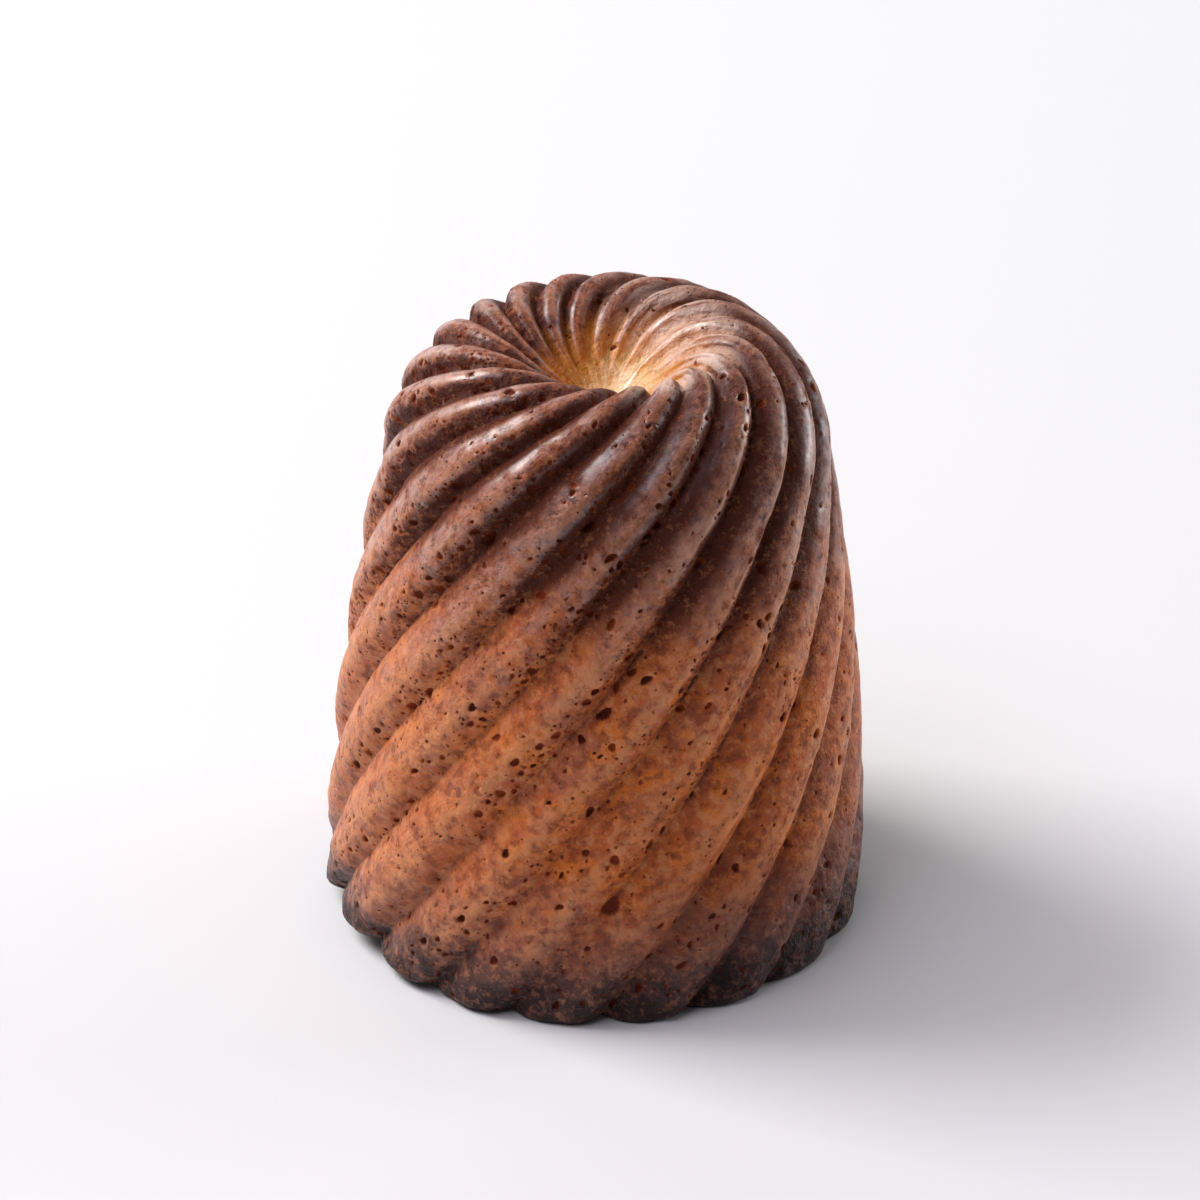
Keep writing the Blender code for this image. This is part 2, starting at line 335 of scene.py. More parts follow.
def poreRings(pore):
    # The rings of one pore on the chart, from the skin outside its edge down to its middle.
    angle, climb, radius, depth, stretch, tone, turned = pore
    count, rings = next((count, rings) for least, count, rings in pores["rings"] if radius > least)
    tilt = poreTilt(climb, turned)
    out = []
    for index, (share, sunk, mask) in enumerate(rings):
        turn = (np.arange(count) + 0.5 * (index % 2)) / count * fullTurn
        uneven = 1.0
        for many, high, shift in pores["waves"]:
            uneven = uneven + high * np.sin(many * turn + turned * shift)
        if not index:
            uneven = 1 + (uneven - 1) * pores["outerRoundness"]
        along = radius * share * uneven * stretch ** 0.5 * np.cos(turn)
        across = radius * share * uneven / stretch ** 0.5 * np.sin(turn)
        right = along * math.sin(tilt) + across * math.cos(tilt)
        up = along * math.cos(tilt) - across * math.sin(tilt)
        out.append(np.column_stack((right, up, np.full(count, sunk * depth), np.full(count, mask))))
    out.append(np.array([[0, 0, depth, 1.0]]))
    out = np.vstack(out) * (1 / radiusAt(climb), 1 / radiusAt(climb), 1, 1)
    out += (angle, np.interp(climb, climbs, inRadii), 0, 0)
    return np.column_stack((out, np.full(len(out), tone)))


def clearOfPores(points, found):
    # Drops the grid's points that lie inside a pore or too close to one.
    keep = np.ones(len(points), bool)
    order = np.argsort(points[:, 1])
    sortedClimbs = points[order, 1]
    for angle, climb, radius, depth, stretch, tone, turned in found:
        outer = radius * pores["outerRing"]
        reach = outer * stretch ** 0.5 * pores["stripShare"] + pores["stripGap"]
        first, last = np.searchsorted(sortedClimbs, (climb - reach, climb + reach))
        near = order[first:last]
        turn = (points[near, 0] - angle + math.pi) % fullTurn - math.pi
        right, up = turn * radiusAt(climb), points[near, 1] - climb
        tilt = poreTilt(climb, turned)
        along = right * math.sin(tilt) + up * math.cos(tilt)
        across = right * math.cos(tilt) - up * math.sin(tilt)
        edge = outer * pores["clearShare"] + pores["clearGap"]
        inside = (along / stretch ** 0.5) ** 2 + (across * stretch ** 0.5) ** 2 < edge ** 2
        keep[near[inside]] = False
    return points[keep]


def onChart(points):
    # Points of the plain skin as rows of the chart: angle, walk in radii, how far sunk, pore mask, pore tone.
    walk = np.interp(points[:, 1], climbs, inRadii)
    return np.column_stack((points[:, 0], walk, np.zeros((len(points), 3))))


def crustChart():
    # Every point of the crust on the flat chart. The seam comes first, twice, a full turn apart.
    found = scatterPores()
    seam, inner = gridPoints()
    left = onChart(seam)
    right = left + (fullTurn, 0, 0, 0, 0)
    rings = np.vstack([poreRings(pore) for pore in found])
    behind = fluteAt(rings[:, 0], np.interp(rings[:, 1], inRadii, climbs))
    rings[:, 0] += np.where(behind < 0, fullTurn, 0) - np.where(behind > form["flutes"], fullTurn, 0)
    chart = np.vstack((left, right, onChart(clearOfPores(inner, found)), rings))
    print("chart points:", len(chart))
    return chart, len(left)


def chartFaces(chart, rows):
    # Triangles between the chart's points, with the two copies of the seam made one.
    edges = [(start + index, start + index + 1) for start in (0, rows) for index in range(rows - 1)]
    made = delaunay_2d_cdt([tuple(point) for point in chart[:, :2].tolist()], edges, [], 0, 1e-6, True)
    source = np.array([origins[0] if origins else -1 for origins in made[3]])
    assert (source >= 0).all(), "the seam crosses a pore"
    faces = source[np.array([face for face in made[2] if len(face) == 3])]
    onRight = (faces >= rows) & (faces < 2 * rows)
    outside = (faces < rows).all(axis=1) | onRight.all(axis=1)
    return np.where(onRight, faces - rows, faces)[~outside]


def poleFans(chart, rows):
    # Fans of triangles that close the middle of the base and of the dimple, round a point yet to be added.
    fans = []
    walks = chart[:rows, 1]
    for pole, level in ((len(chart), walks.min()), (len(chart) + 1, walks.max())):
        ring = np.flatnonzero(np.isclose(chart[:, 1], level, atol=1e-9))
        ring = ring[(ring < rows) | (ring >= 2 * rows)]
        ring = ring[np.argsort(chart[ring, 0])]
        following = np.roll(ring, -1)
        sides = (following, ring) if pole == len(chart) else (ring, following)
        fans.append(np.column_stack((*sides, np.full(len(ring), pole))))
    return fans


# How finely the form is walked over to find its middle, and up to what height along the surface.
centreSteps = dict(perFlute=8, rows=400, top=60)


def formCentre():
    # The middle of the plain form's box, which the frame has at the origin.
    flutes = np.arange(0, form["flutes"], 1 / centreSteps["perFlute"])
    wall = np.linspace(0, centreSteps["top"], centreSteps["rows"])
    flute, climb = (grid.ravel() for grid in np.meshgrid(flutes, wall))
    angle = angleAt(flute, climb)
    radius = radiusAt(climb) - np.interp(climb, *np.array(form["depths"]).T) * creaseAt(flute % 1)
    height = np.interp(climb, climbs, section[:, 1])
    across = radius * np.cos(angle) + form["lean"] * height / form["rimHeight"]
    deep = radius * np.sin(angle)
    return np.array(((across.max() + across.min()) / 2, (deep.max() + deep.min()) / 2))


def crustMesh():
    chart, rows = crustChart()
    faces = np.vstack((chartFaces(chart, rows), *poleFans(chart, rows)))
    chart = np.vstack((chart, (0, inRadii[0], 0, 0, 0), (0, inRadii[-1], 0, 0, 0)))
    used, faces = np.unique(faces, return_inverse=True)
    faces = faces.reshape(-1, 3)
    chart = chart[used]
    places, masks = surface(chart[:, 0], np.interp(chart[:, 1], inRadii, climbs), chart[:, 2])
    masks.update(pore=chart[:, 3], poreTone=chart[:, 4])
    places[:, :2] -= formCentre()
    mesh = bpy.data.meshes.new("crust")
    mesh.from_pydata((places * millimetre).tolist(), [], faces.tolist())
    for name, values in masks.items():
        if name == "unwound":
            layer = mesh.attributes.new(name, "FLOAT_VECTOR", "POINT")
            layer.data.foreach_set("vector", (values * millimetre).ravel())
        else:
            layer = mesh.attributes.new(name, "FLOAT", "POINT")
            layer.data.foreach_set("value", values.astype(float))
    mesh.shade_smooth()
    mesh.validate()
    print("crust mesh:", len(mesh.vertices), "points,", len(mesh.polygons), "triangles")
    return mesh


class Value:
    # One output of a shader node. Sums on it add the Math nodes they need.
    def __init__(self, finish, socket):
        self.finish = finish
        self.socket = socket

    def sum(self, operation, first, second):
        return self.finish.add("Math", dict(operation=operation), {0: first, 1: second})

    def __add__(self, other):
        return self.sum("ADD", self, other)

    def __sub__(self, other):
        return self.sum("SUBTRACT", self, other)

    def __rsub__(self, other):
        return self.sum("SUBTRACT", other, self)

    def __mul__(self, other):
        return self.sum("MULTIPLY", self, other)

    __radd__ = __add__
    __rmul__ = __mul__


class Finish:
    # A material built one node at a time.
    def __init__(self, name):
        self.material = bpy.data.materials.new(name)
        self.material.use_nodes = True
        self.nodes = self.material.node_tree.nodes
        self.links = self.material.node_tree.links
        self.shader = self.nodes["Principled BSDF"]

    def add(self, kind, settings, inputs, output=0):
        node = self.nodes.new("ShaderNode" + kind)
        for name, setting in settings.items():
            setattr(node, name, setting)
        self.feed(node, inputs)
        return Value(self, node.outputs[output])

    def feed(self, node, inputs):
        for name, given in inputs.items():
            if isinstance(given, Value):
                self.links.new(given.socket, node.inputs[name])
            else:
                node.inputs[name].default_value = given

    def blend(self, share, first, second):
        settings = dict(data_type="RGBA", blend_type="MIX")
        return self.add("Mix", settings, {0: share, 6: first, 7: second}, 2)

    def mask(self, value, low, high):
        # Rises smoothly from 0 at low to 1 at high.
        ends = {"Value": value, "From Min": low, "From Max": high}
        return self.add("MapRange", dict(interpolation_type="SMOOTHSTEP"), ends)

    def noise(self, place, size, seed, detail, roughness):
        # Cloudy noise with grains of that size in millimetres, about 0.5 in the middle.
        inputs = {"Vector": place, "W": seed, "Scale": 1 / (size * millimetre),
                  "Detail": detail, "Roughness": roughness}
        return self.add("TexNoise", dict(noise_dimensions="4D"), inputs)

    def attribute(self, name, output="Fac"):
        return self.add("Attribute", dict(attribute_name=name), {}, output)


# Of these colours, the sheen and the pale mauve of the upper flanks are painted light; darkBrown also gives
# the ridges' painted shade, and poreDark the pinholes' painted shade.
crustLook = dict(
    brown=(0.530, 0.119, 0.026, 1), mauve=(0.430, 0.118, 0.050, 1), tan=(0.70, 0.272, 0.104, 1),
    orange=(0.68, 0.170, 0.020, 1), pale=(0.57, 0.234, 0.126, 1), darkBrown=(0.088, 0.015, 0.005, 1),
    char=(0.015, 0.009, 0.009, 1), ash=(0.072, 0.036, 0.034, 1), amber=(0.62, 0.200, 0.018, 1),
    gold=(0.82, 0.38, 0.075, 1), cream=(0.94, 0.74, 0.46, 1), upperBrown=(0.138, 0.023, 0.007, 1),
    poreDark=(0.100, 0.013, 0.003, 1), poreRed=(0.27, 0.038, 0.008, 1), poreAmber=(0.50, 0.140, 0.015, 1),
    sheen=(0.86, 0.60, 0.48, 1), litFlankPaint=(0.48, 0.230, 0.175, 1), haze=(0.175, 0.088, 0.078, 1),
    roughness=0.42, roughnessSpread=0.24, poreRoughness=0.2, valleyRoughness=0.3,
    shine=0.22, index=1.45, coat=1.0, coatRoughness=0.36, coatIndex=1.80,
    translucency=0.15, translucencyReach=0.0012, translucencyTint=(1.0, 0.36, 0.14),
    bumpStrength=0.9,
)
# Each noise's grain in millimetres, its seed, detail and roughness. The streaks run along the ridges.
crustNoises = dict(
    broad=(9.0, 1.0, 3, 0.5), patches=(4.0, 2.0, 4, 0.6), streaks=(1.6, 3.0, 3, 0.55),
    mottle=(1.7, 4.0, 5, 0.70), grain=(0.62, 5.0, 4, 0.65), fine=(0.24, 6.0, 2, 0.6),
    blotch=(1.15, 7.0, 2, 0.45),
)
# Where the looks of the crust change: heights along the surface in millimetres, and places from west to
# east in metres. In all the lists below a pair is where a mask begins to come in and where it is full.
zones = dict(
    middleStart=(6, 16), middleEnd=(30, 44), darkTopStart=(28, 50), darkTopEnd=(67, 70), darkTopWander=14,
    upperStart=(30, 48), upperFade=(53, 60), upperFadeShare=0.5,
    east=(-0.004, 0.012), centre=(-0.016, 0.002), west=(0.0, -0.021),
    farEast=(0.002, 0.014), inEast=(0.0, 0.006),
    flank=(0.15, 0.90), flankStart=(14, 42), flankLeast=0.12, flankMore=0.82,
    streakStretch=0.28,
)


def halfAndHalf(first, second):
    return first * 0.5 + second * 0.5


def crustPlaces(crust):
    # What the steps of the finish share: the mesh's own masks, the noises, and where things change.
    # The ridges' step adds the painted valley shade to it, and the foot's step the charred part.
    spot = crust.add("TexCoord", {}, {}, "Object")
    stretched = {0: crust.attribute("unwound", "Vector"), 1: (1, 1, zones["streakStretch"])}
    streaked = crust.add("VectorMath", dict(operation="MULTIPLY"), stretched)
    carried = {name: crust.attribute(name) for name in ("crease", "climb", "flank", "pore", "poreTone")}
    noises = {name: crust.noise(streaked if name == "streaks" else spot, *values)
              for name, values in crustNoises.items()}
    on = SimpleNamespace(spot=spot, **carried, **noises)
    on.middle = crust.mask(on.climb, *zones["middleStart"]) * (1 - crust.mask(on.climb, *zones["middleEnd"]))
    wandering = on.climb + (on.broad - 0.5) * zones["darkTopWander"]
    belowDimple = 1 - crust.mask(on.climb, *zones["darkTopEnd"])
    on.darkTop = crust.mask(wandering, *zones["darkTopStart"]) * belowDimple
    on.upper = crust.mask(on.climb, *zones["upperStart"])
    on.upper = on.upper * (1 - zones["upperFadeShare"] * crust.mask(on.climb, *zones["upperFade"]))
    on.east = crust.add("SeparateXYZ", {}, {"Vector": spot}, "X")
    on.eastern, on.fromCentre = crust.mask(on.east, *zones["east"]), crust.mask(on.east, *zones["centre"])
    higher = zones["flankLeast"] + zones["flankMore"] * crust.mask(on.climb, *zones["flankStart"])
    on.rightFlank = crust.mask(on.flank, *zones["flank"]) * higher
    return on


skinTones = dict(
    mauve=(0.45, 0.55), mauveBroad=0.4, mauveMottle=0.6,
    orange=(0.49, 0.57), orangeLeast=0.15, orangeMiddle=0.80,
    upperBrown=0.50, upperBrownEast=0.28, upperBrownMottle=0.30, upperMottle=(0.56, 0.44),
    paleTop=0.6, paleLeast=0.25, paleMottle=0.40, paleCut=(0.42, 0.60),
    tanBlotch=(0.53, 0.63), tanShare=0.52, tanTop=0.38, darkBlotch=(0.47, 0.37), darkShare=0.50,
)


def skinColour(crust, on):
    # The skin: brown and mauve, orange where it is thin, darker towards the top and paler in the west.
    look, tone = crustLook, skinTones
    mauve = crust.mask(on.broad * tone["mauveBroad"] + on.mottle * tone["mauveMottle"], *tone["mauve"])
    colour = crust.blend(mauve, look["brown"], look["mauve"])
    thin = crust.mask(halfAndHalf(on.patches, on.mottle), *tone["orange"])
    thin = thin * (tone["orangeLeast"] + tone["orangeMiddle"] * on.middle)
    colour = crust.blend(thin, colour, look["orange"])
    tanned = tone["upperBrown"] + tone["upperBrownEast"] * on.eastern
    tanned = tanned + tone["upperBrownMottle"] * crust.mask(on.mottle, *tone["upperMottle"])
    colour = crust.blend(on.darkTop * tanned, colour, look["upperBrown"])
    pale = crust.mask(on.east, *zones["west"]) * (1 - on.darkTop * tone["paleTop"])
    pale = pale * (tone["paleLeast"] + tone["paleMottle"] * crust.mask(on.mottle, *tone["paleCut"]))
    colour = crust.blend(pale, colour, look["pale"])
    blotches = crust.mask(on.blotch, *tone["tanBlotch"]) * (tone["tanShare"] - tone["tanTop"] * on.darkTop)
    colour = crust.blend(blotches, colour, look["tan"])
    blotches = crust.mask(on.blotch, *tone["darkBlotch"]) * tone["darkShare"]
    return crust.blend(blotches, colour, look["upperBrown"])


ridgeTones = dict(
    crest=(0.0, 0.09), crestCut=(0.42, 0.56), crestShare=0.65, crestTop=0.25, crestCentre=0.10,
    litPaintCrease=(0.05, 0.45), litPaintFlank=(0.35, -0.45), litPaintStart=(27, 44), litPaintEnd=(59, 64),
    litPaintCut=(0.36, 0.55), litPaintCentre=0.35, litPaintEast=0.4, litPaintShare=0.64,
    valleyDeep=(0.10, 0.80), valleyShare=0.05, valleyUpper=(0.05, 0.48), valleyUpperShare=0.86,
    flankCut=(0.56, 0.44), flankShare=0.34, flankTop=0.25, flankEast=0.15,
    eastCrease=(0.12, 0.55), eastShare=0.32, centreCrease=(0.010, 0.14), centreShare=0.50,
    grooveShade=(0.82, 1.0), grooveCut=(0.60, 0.42), grooveShare=0.25, grooveUpper=0.5, grooveStart=(20, 44),
    darkCut=(0.0, 1.1),
)


def ridgeColour(crust, on, colour):
    # Pale along the crests, partly the crust's own colour and partly a painted highlight. Painted light on
    # the flanks that face it, and painted shade down the flank to the right of each, where the crust is also
    # rough, darkest in the creases.
    look, tone = crustLook, ridgeTones
    # Pale tan along the crests: partly the crust's own colour and partly a painted highlight where the crests
    # catch the light.
    crest = 1 - crust.mask(on.crease, *tone["crest"])
    crest = crest * crust.mask(halfAndHalf(on.streaks, on.grain), *tone["crestCut"])
    crest = crest * (tone["crestShare"] - tone["crestTop"] * on.darkTop - tone["crestCentre"] * on.fromCentre)
    colour = crust.blend(crest, colour, look["tan"])
    # A pale mauve painted light on the broad flank to the left of each crest, which faces the light, in the
    # upper half; less of it in the centre and the east.
    litFlankPaint = (1 - crust.mask(on.crease, *tone["litPaintCrease"])) * crust.mask(on.flank, *tone["litPaintFlank"])
    litFlankPaint = litFlankPaint * crust.mask(on.climb, *tone["litPaintStart"]) * (1 - crust.mask(on.climb, *tone["litPaintEnd"]))
    litFlankPaint = litFlankPaint * crust.mask(on.mottle, *tone["litPaintCut"])
    litFlankPaint = litFlankPaint * (1 - on.fromCentre * tone["litPaintCentre"] - on.eastern * tone["litPaintEast"])
    colour = crust.blend(litFlankPaint * tone["litPaintShare"], colour, look["litFlankPaint"])

    # Painted shade in the creases, most in the upper half and at the bottom of the grooves, and down the
    # flank to the right of each crest, which faces away from the light and is also rough with pores; more of
    # it in the centre and the east.
    on.valley = crust.mask(on.crease, *tone["valleyDeep"]) * tone["valleyShare"]
    on.valley = on.valley + crust.mask(on.crease, *tone["valleyUpper"]) * on.upper * tone["valleyUpperShare"]
    flank = on.rightFlank * crust.mask(halfAndHalf(on.grain, on.mottle), *tone["flankCut"])
    flank = flank * (tone["flankShare"] + tone["flankTop"] * on.darkTop + tone["flankEast"] * on.eastern)
    east = on.eastern * crust.mask(on.crease, *tone["eastCrease"]) * tone["eastShare"]
    centre = on.fromCentre * on.upper * crust.mask(on.crease, *tone["centreCrease"]) * tone["centreShare"]
    grooveShade = crust.mask(on.crease, *tone["grooveShade"]) * crust.mask(on.mottle, *tone["grooveCut"])
    grooveShade = grooveShade * (tone["grooveShare"] + tone["grooveUpper"] * crust.mask(on.climb, *tone["grooveStart"]))
    dark = on.valley + flank + east + centre + grooveShade
    return crust.blend(crust.mask(dark, *tone["darkCut"]), colour, look["darkBrown"])


speckTones = dict(
    tan=(0.55, 0.64), tanShare=0.46, tanTop=0.30,
    amberFine=(0.58, 0.68), amberGrain=(0.45, 0.58), amberShare=0.45, amberTop=0.22,
    dark=(0.45, 0.35), darkShare=0.42, darkTop=0.40,
    lineStart=(0.02, 0.07), lineEnd=(0.10, 0.20), lineFlank=(0.2, 0.5), lineCut=(0.40, 0.52), lineShare=0.75,
)


def speckColour(crust, on, colour):
    # Crumbs and specks, and in the east a thin pale line that runs just past each crest: a painted highlight,
    # where the light from the east catches the crests.
    look, tone = crustLook, speckTones
    crumbs = crust.mask(on.grain, *tone["tan"]) * (tone["tanShare"] - tone["tanTop"] * on.darkTop)
    colour = crust.blend(crumbs, colour, look["tan"])
    specks = crust.mask(on.fine, *tone["amberFine"]) * crust.mask(on.grain, *tone["amberGrain"])
    specks = specks * (tone["amberShare"] - tone["amberTop"] * on.darkTop)
    colour = crust.blend(specks, colour, look["amber"])
    burnt = crust.mask(on.grain, *tone["dark"]) * (tone["darkShare"] + tone["darkTop"] * on.darkTop)
    colour = crust.blend(burnt, colour, look["darkBrown"])
    # The painted highlight: a thin pale line just past each crest, in the east only.
    paintedRimLine = crust.mask(on.crease, *tone["lineStart"]) * (1 - crust.mask(on.crease, *tone["lineEnd"]))
    paintedRimLine = paintedRimLine * crust.mask(on.flank, *tone["lineFlank"])
    paintedRimLine = paintedRimLine * crust.mask(on.east, *zones["farEast"]) * crust.mask(on.streaks, *tone["lineCut"])
    return crust.blend(paintedRimLine * tone["lineShare"], colour, look["tan"])


dimpleTones = dict(
    # millimetres by which each brings the colours forward, and for the east millimetres a metre
    streaks=4, mottle=4, crease=1.8, east=300,
    amber=(62.0, 66.5), amberShare=0.92, gold=(65.5, 69.0), goldShare=0.8, cream=(67.0, 71.0), creamShare=0.8,
    sheenStart=(56.5, 60.5), sheenEnd=(64, 67), sheenCut=(0.38, 0.56), wornShare=0.68,
)


def dimpleColour(crust, on, colour):
    # The skin thins out to amber and then to the pale custard colour, sooner in the east: partly a thinner
    # crust, partly painted light where the east wall of the dimple faces the light. A pale painted sheen lies
    # on the east inner shoulder.
    look, tone = crustLook, dimpleTones
    inward = on.climb + (on.streaks - 0.5) * tone["streaks"] + (on.mottle - 0.5) * tone["mottle"]
    # The east brings the colours forward: partly a thinner crust, partly painted light on the dimple's lit
    # east wall.
    inward = inward + on.crease * tone["crease"] + on.east * tone["east"]
    for name in ("amber", "gold", "cream"):
        colour = crust.blend(crust.mask(inward, *tone[name]) * tone[name + "Share"], colour, look[name])
    # A pale painted sheen, a painted highlight on the east inner shoulder.
    paintedSheen = crust.mask(on.east, *zones["inEast"]) * crust.mask(on.climb, *tone["sheenStart"])
    paintedSheen = paintedSheen * (1 - crust.mask(on.climb, *tone["sheenEnd"]))
    paintedSheen = paintedSheen * crust.mask(on.streaks, *tone["sheenCut"]) * tone["wornShare"]
    return crust.blend(paintedSheen, colour, look["sheen"])


footTones = dict(
    # how ragged the upper edges are, in the same measures
    east=50, mottle=8, patches=10, grain=5,
    lowEastDark=(8, 20), lowEastDarkShare=0.45, haze=(5, 14), hazeShare=0.45,
    ash=(2.5, 11.0), ashShare=0.92, char=(-0.5, 6.6), charShare=0.86, crumbs=(0.49, 0.60), crumbShare=0.50,
)


def footColour(crust, on, colour):
    # The charred foot, with a ragged upper edge.
    look, tone = crustLook, footTones
    ragged = on.climb - on.east * tone["east"] + (on.mottle - 0.5) * tone["mottle"]
    ragged = ragged + (on.patches - 0.5) * tone["patches"] + (on.grain - 0.5) * tone["grain"]
    # Darker brown low down in the east.
    lowEastDark = (1 - crust.mask(ragged, *tone["lowEastDark"])) * on.eastern
    colour = crust.blend(lowEastDark * tone["lowEastDarkShare"], colour, look["upperBrown"])
    colour = crust.blend((1 - crust.mask(ragged, *tone["haze"])) * tone["hazeShare"], colour, look["haze"])
    on.charred = 1 - crust.mask(ragged, *tone["ash"])
    crumbs = crust.mask(on.grain, *tone["crumbs"]) * tone["crumbShare"]
    colour = crust.blend(on.charred * (tone["ashShare"] - crumbs), colour, look["ash"])
    burnt = (1 - crust.mask(ragged, *tone["char"])) * (tone["charShare"] - crumbs)
    return crust.blend(burnt, colour, look["char"])


# Each size of pinhole has its cells' width in millimetres, the holes' radius as a share of it, and an offset.
pinholes = dict(
    sizes=((0.85, 0.20, 0.0), (0.46, 0.24, 3.0)), flank=0.45, patches=1.0, rarity=0.72,
    grown=(0.0, 0.4), open=(0.0, 0.08), edge=(-0.04, 0.05), end=(60, 67), share=0.85,
)


def pinholeMask(crust, on):
    # Pinholes too small for the mesh, in cells of which some have one, and in clusters.
    holes = 0
    for size, radius, offset in pinholes["sizes"]:
        moved = crust.add("VectorMath", dict(operation="ADD"), {0: on.spot, 1: (offset, offset, offset)})
        cells = {"Vector": moved, "Scale": 1 / (size * millimetre), "Randomness": 1.0}
        distance = crust.add("TexVoronoi", {}, cells, "Distance")
        chance = crust.add("SeparateColor", {}, {"Color": crust.add("TexVoronoi", {}, cells, "Color")}, "Red")
        wish = chance + on.rightFlank * pinholes["flank"] + (on.patches - 0.5) * pinholes["patches"]
        wish = wish - pinholes["rarity"]
        reach = crust.mask(wish, *pinholes["grown"]) * radius
        holes = crust.mask(reach - distance, *pinholes["edge"]) * crust.mask(wish, *pinholes["open"]) + holes
    return holes * (1 - crust.mask(on.climb, *pinholes["end"]))


poreTones = dict(
    inside=(0.35, 0.95), red=(0.08, 0.75), redTop=0.55, redCharred=0.7,
    amberTone=(0.55, 0.75), amberStart=(5, 12), amberEdge=(0.1, 0.5), amberShare=0.7, amberTop=0.35,
    paler=(0.8, 1.0), palerShare=0.4, palerTop=0.3,
)


def poreColour(crust, on, colour):
    # A pore is dark red inside. Some have an amber edge, where the crust is thin.
    look, tone = crustLook, poreTones
    edge = crust.mask(on.poreTone, *tone["amberTone"]) * crust.mask(on.climb, *tone["amberStart"])
    edge = edge * crust.mask(on.pore, *tone["amberEdge"])
    edge = edge * (tone["amberShare"] - tone["amberTop"] * on.darkTop)
    colour = crust.blend(edge, colour, look["poreAmber"])
    red = crust.mask(on.poreTone, *tone["red"]) * (1 - tone["redTop"] * on.darkTop)
    red = red * (1 - tone["redCharred"] * on.charred)
    within = crust.blend(red, look["poreDark"], look["poreRed"])
    paler = crust.mask(on.poreTone, *tone["paler"]) * (tone["palerShare"] - tone["palerTop"] * on.darkTop)
    return crust.blend(crust.mask(on.pore, *tone["inside"]) * (1 - paler), colour, within)


glossSpots = dict(
    shut=(0.1, 0.8), crease=(0.09, 0.42), creaseShare=0.90, charredShare=0.7, cut=(0.38, 0.60),
    least=0.15, more=0.85, start=(24, 46),
)


def glossAndRoughness(crust, on, holes):
    # The crests of the upper half are glossy, the pores, the creases and the charred foot are dull.
    look, spots = crustLook, glossSpots
    shut = 1 - crust.mask(on.pore + holes, *spots["shut"])
    rough = look["roughness"] + (on.grain - 0.5) * look["roughnessSpread"]
    rough = rough + (on.streaks - 0.5) * look["roughnessSpread"]
    rough = rough + (1 - shut) * look["poreRoughness"] + on.valley * look["valleyRoughness"]
    gloss = look["coat"] * shut * (1 - crust.mask(on.crease, *spots["crease"]) * spots["creaseShare"])
    gloss = gloss * (1 - on.charred * spots["charredShare"])
    gloss = gloss * crust.mask(halfAndHalf(on.streaks, on.mottle), *spots["cut"])
    return gloss * (spots["least"] + spots["more"] * crust.mask(on.climb, *spots["start"])), rough


# Depths in millimetres. The mould was turned on a lathe, and its fine rings show where the top is smooth;
# their rhythm is in radians a millimetre.
bumpDepths = dict(
    mottle=0.34, blotch=0.26, grain=0.30, fine=0.03, holes=0.10, topMore=1.1, charMore=1.1,
    ring=0.012, ringRhythm=24, ringStart=(49, 55), ringEnd=(64, 67),
)


def bumpHeight(crust, on, holes):
    deep = bumpDepths
    rings = crust.add("Math", dict(operation="SINE"), {0: on.climb * deep["ringRhythm"]})
    rings = rings * crust.mask(on.climb, *deep["ringStart"]) * (1 - crust.mask(on.climb, *deep["ringEnd"]))
    rings = rings * crust.mask(on.east, *zones["inEast"]) * deep["ring"]
    bumps = on.mottle * deep["mottle"] + on.blotch * deep["blotch"] + on.grain * deep["grain"]
    bumps = bumps * (1 + deep["topMore"] * on.darkTop + deep["charMore"] * on.charred)
    return (bumps + on.fine * deep["fine"] - holes * deep["holes"] + rings) * millimetre


def crustFinish():
    look = crustLook
    crust = Finish("crust")
    on = crustPlaces(crust)
    colour = skinColour(crust, on)
    for step in (ridgeColour, speckColour, dimpleColour, footColour):
        colour = step(crust, on, colour)
    holes = pinholeMask(crust, on)
    # The pinholes are painted dark: their dark red inside and painted shade, as the mesh has no depth for
    # them.
    colour = crust.blend(holes * pinholes["share"], colour, look["poreDark"])
    colour = poreColour(crust, on, colour)
    gloss, rough = glossAndRoughness(crust, on, holes)
    relief = {"Height": bumpHeight(crust, on, holes), "Strength": look["bumpStrength"], "Distance": 1.0}
    crust.feed(crust.shader, {
        "Base Color": colour, "Roughness": rough, "Normal": crust.add("Bump", {}, relief),
        "IOR": look["index"], "Specular IOR Level": look["shine"], "Coat Weight": gloss,
        "Coat Roughness": look["coatRoughness"], "Coat IOR": look["coatIndex"],
        "Subsurface Weight": look["translucency"], "Subsurface Radius": look["translucencyTint"],
        "Subsurface Scale": look["translucencyReach"],
    })
    print("crust finish:", len(crust.nodes), "nodes")
    return crust.material


canele = bpy.data.objects.new("caneleCrust", crustMesh())
bpy.context.scene.collection.objects.link(canele)
canele.data.materials.append(crustFinish())
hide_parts("canele")
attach(canele, "root")

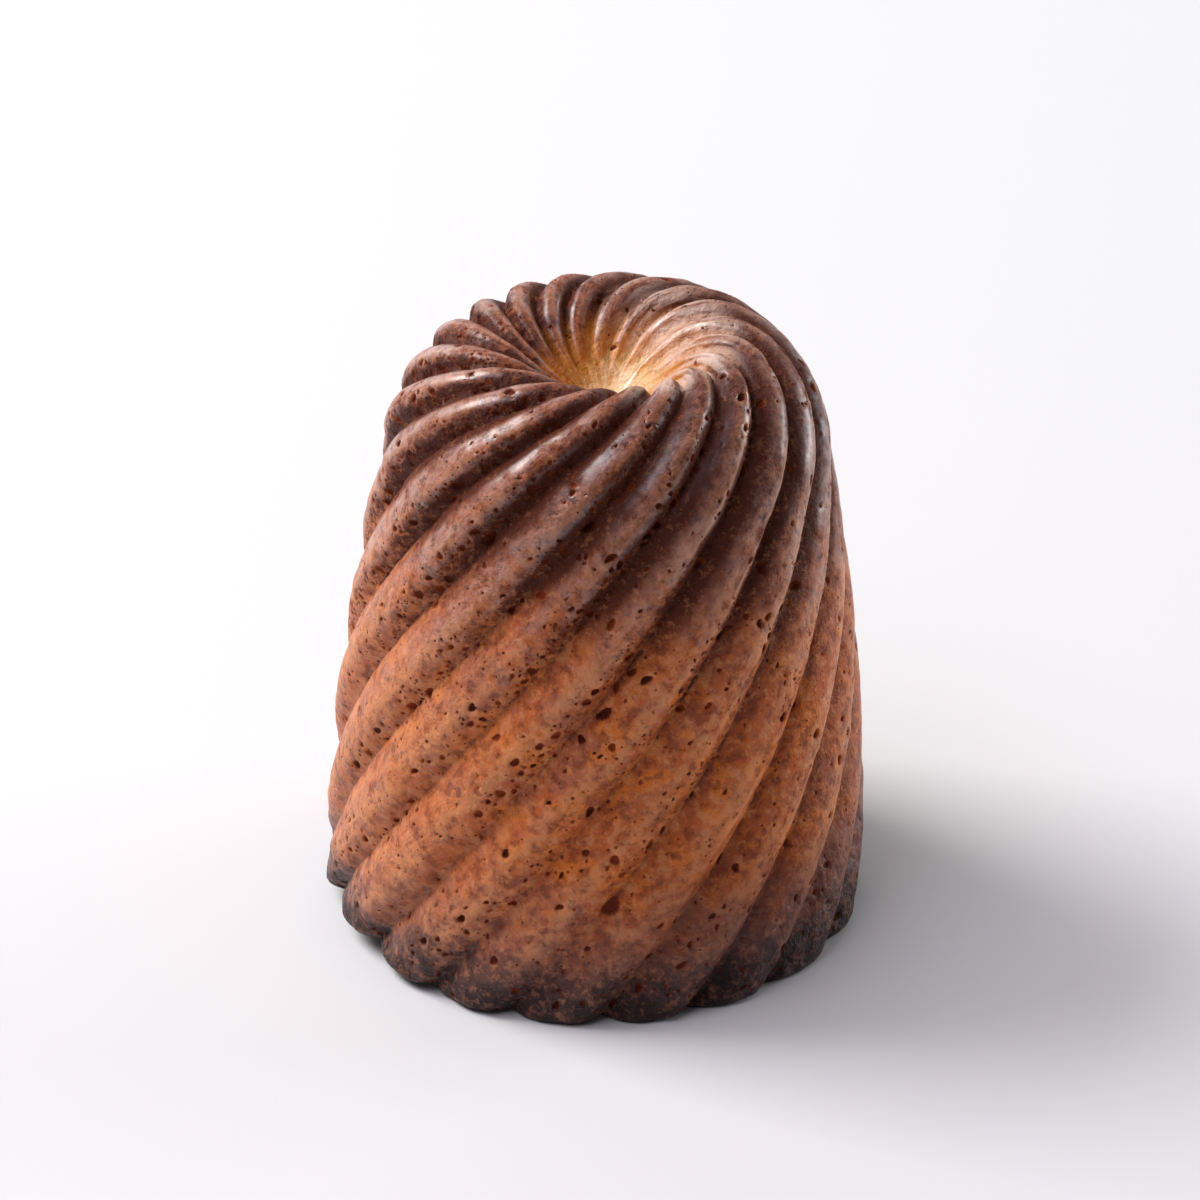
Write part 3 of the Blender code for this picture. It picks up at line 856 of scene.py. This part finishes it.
# The table, the lights and the camera, in metres. Angles are in degrees, the lens in millimetres.
table = dict(
    side=6.0, colour=(0.765, 0.765, 0.77, 1), cloudColour=(0.745, 0.745, 0.755, 1), cloudShare=0.04,
    cloud=(60.0, 1.0, 2, 0.5), roughness=0.55, roughnessSpread=0.1,
)
lights = dict(
    key=dict(place=(-0.70, 0.255, 0.80), wide=0.50, tall=0.50, power=11.2, colour=(1.0, 0.985, 0.96)),
    window=dict(place=(-0.52, 0.84, 0.32), wide=0.90, tall=0.56, power=3.0, colour=(0.97, 0.98, 1.0)),
    back=dict(place=(0.476, 0.825, 0.55), wide=1.3, tall=0.7, power=2.0, colour=(0.98, 0.99, 1.0)),
    right=dict(place=(0.83, 0.30, 0.20), wide=0.50, tall=0.30, power=3.8, colour=(0.97, 0.975, 1.0)),
    front=dict(place=(-0.33, -0.22, 0.80), wide=0.75, tall=0.45, power=3.4, colour=(0.91, 0.87, 1.0)),
)
lightAim = (0, 0, 0.03)
surround = dict(colour=(0.95, 0.97, 1.0, 1), strength=0.08)
eye = dict(aim=(0.00060, 0.00049, 0.02786), elevation=29.589, distance=0.600, lens=213.96,
           sensor=36, near=0.01, far=20)


def addTable():
    half = table["side"] / 2
    corners = [(-half, -half, 0), (half, -half, 0), (half, half, 0), (-half, half, 0)]
    mesh = bpy.data.meshes.new("table")
    mesh.from_pydata(corners, [], [(0, 1, 2, 3)])
    top = bpy.data.objects.new("table", mesh)
    bpy.context.scene.collection.objects.link(top)
    paint = Finish("tablePaint")
    cloudy = paint.noise(paint.add("TexCoord", {}, {}, "Object"), *table["cloud"])
    shade = paint.blend(cloudy * table["cloudShare"], table["colour"], table["cloudColour"])
    rough = table["roughness"] + (cloudy - 0.5) * table["roughnessSpread"]
    paint.feed(paint.shader, {"Base Color": shade, "Roughness": rough})
    mesh.materials.append(paint.material)


def addLight(name, values):
    lamp = bpy.data.lights.new(name, "AREA")
    lamp.shape = "RECTANGLE"
    lamp.size, lamp.size_y = values["wide"], values["tall"]
    lamp.energy = values["power"]
    lamp.color = values["colour"]
    light = bpy.data.objects.new(name, lamp)
    light.location = values["place"]
    light.rotation_euler = (Vector(lightAim) - light.location).to_track_quat("-Z", "Y").to_euler()
    bpy.context.scene.collection.objects.link(light)


def addSurround():
    world = bpy.data.worlds.new("softRoom")
    world.use_nodes = True
    sky = world.node_tree.nodes["Background"]
    sky.inputs["Color"].default_value = surround["colour"]
    sky.inputs["Strength"].default_value = surround["strength"]
    bpy.context.scene.world = world


def addCamera():
    lens = bpy.data.cameras.new("eye")
    lens.lens = eye["lens"]
    lens.sensor_width = eye["sensor"]
    lens.clip_start, lens.clip_end = eye["near"], eye["far"]
    camera = bpy.data.objects.new("eye", lens)
    lift = math.radians(eye["elevation"])
    back = Vector((0, -math.cos(lift), math.sin(lift)))
    camera.location = Vector(eye["aim"]) - Vector((*formCentre() * millimetre, 0)) + back * eye["distance"]
    camera.rotation_euler = (-back).to_track_quat("-Z", "Y").to_euler()
    bpy.context.scene.collection.objects.link(camera)
    bpy.context.scene.camera = camera


addTable()
for name, values in lights.items():
    addLight(name, values)
addSurround()
addCamera()
bpy.context.scene.view_settings.view_transform = "Standard"
print("table, lights and camera placed; the form's centre is off by", formCentre())
